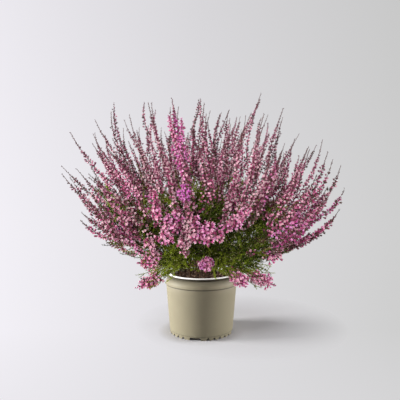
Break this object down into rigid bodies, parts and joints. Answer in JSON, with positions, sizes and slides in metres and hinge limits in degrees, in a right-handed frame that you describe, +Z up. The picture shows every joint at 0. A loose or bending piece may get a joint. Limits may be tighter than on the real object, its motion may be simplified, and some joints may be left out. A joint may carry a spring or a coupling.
{
  "type": "potted heather",
  "caption": "Flowering heather, a dome of needle-leaved shoots ending in long pink flower spikes, growing in peat in a round tapered nursery pot.",
  "frame": {"origin": "middle of the pot's base, on the surface that the pot stands on", "axes": "+Z up along the pot's axis, -Y the front of the plant as it is usually seen"},
  "size_m": [0.4693, 0.4168, 0.3832],
  "materials": {
    "pot": "satin moulded taupe plastic",
    "peat": null,
    "foliage": "matt green needle leaves on thin woody stems",
    "flowers": null
  },
  "bodies": {
    "root": {"pot": "pot", "peat": "peat", "leafy_stem_01": "foliage", "flower_spray_01": "flowers", "leafy_stem_02": "foliage", "flower_spray_02": "flowers", "leafy_stem_03": "foliage", "flower_spray_03": "flowers", "leafy_stem_04": "foliage", "flower_spray_04": "flowers", "leafy_stem_05": "foliage", "flower_spray_05": "flowers", "leafy_stem_06": "foliage", "flower_spray_06": "flowers", "leafy_stem_07": "foliage", "flower_spray_07": "flowers", "leafy_stem_08": "foliage", "flower_spray_08": "flowers", "leafy_stem_09": "foliage", "flower_spray_09": "flowers", "leafy_stem_10": "foliage", "flower_spray_10": "flowers", "leafy_stem_11": "foliage", "flower_spray_11": "flowers", "leafy_stem_12": "foliage", "flower_spray_12": "flowers", "leafy_stem_13": "foliage", "flower_spray_13": "flowers", "leafy_stem_14": "foliage", "flower_spray_14": "flowers", "leafy_stem_15": "foliage", "flower_spray_15": "flowers", "leafy_stem_16": "foliage", "flower_spray_16": "flowers", "leafy_stem_17": "foliage", "flower_spray_17": "flowers", "leafy_stem_18": "foliage", "flower_spray_18": "flowers", "leafy_stem_19": "foliage", "flower_spray_19": "flowers", "leafy_stem_20": "foliage", "flower_spray_20": "flowers", "leafy_stem_21": "foliage", "flower_spray_21": "flowers", "leafy_stem_22": "foliage", "flower_spray_22": "flowers", "low_leafy_stem_01": "foliage", "low_flower_spray_01": "flowers", "low_leafy_stem_02": "foliage", "low_flower_spray_02": "flowers", "low_leafy_stem_03": "foliage", "low_flower_spray_03": "flowers", "low_leafy_stem_04": "foliage", "low_flower_spray_04": "flowers", "low_leafy_stem_05": "foliage", "low_flower_spray_05": "flowers", "low_leafy_stem_06": "foliage", "low_flower_spray_06": "flowers"}
  },
  "joints": []
}
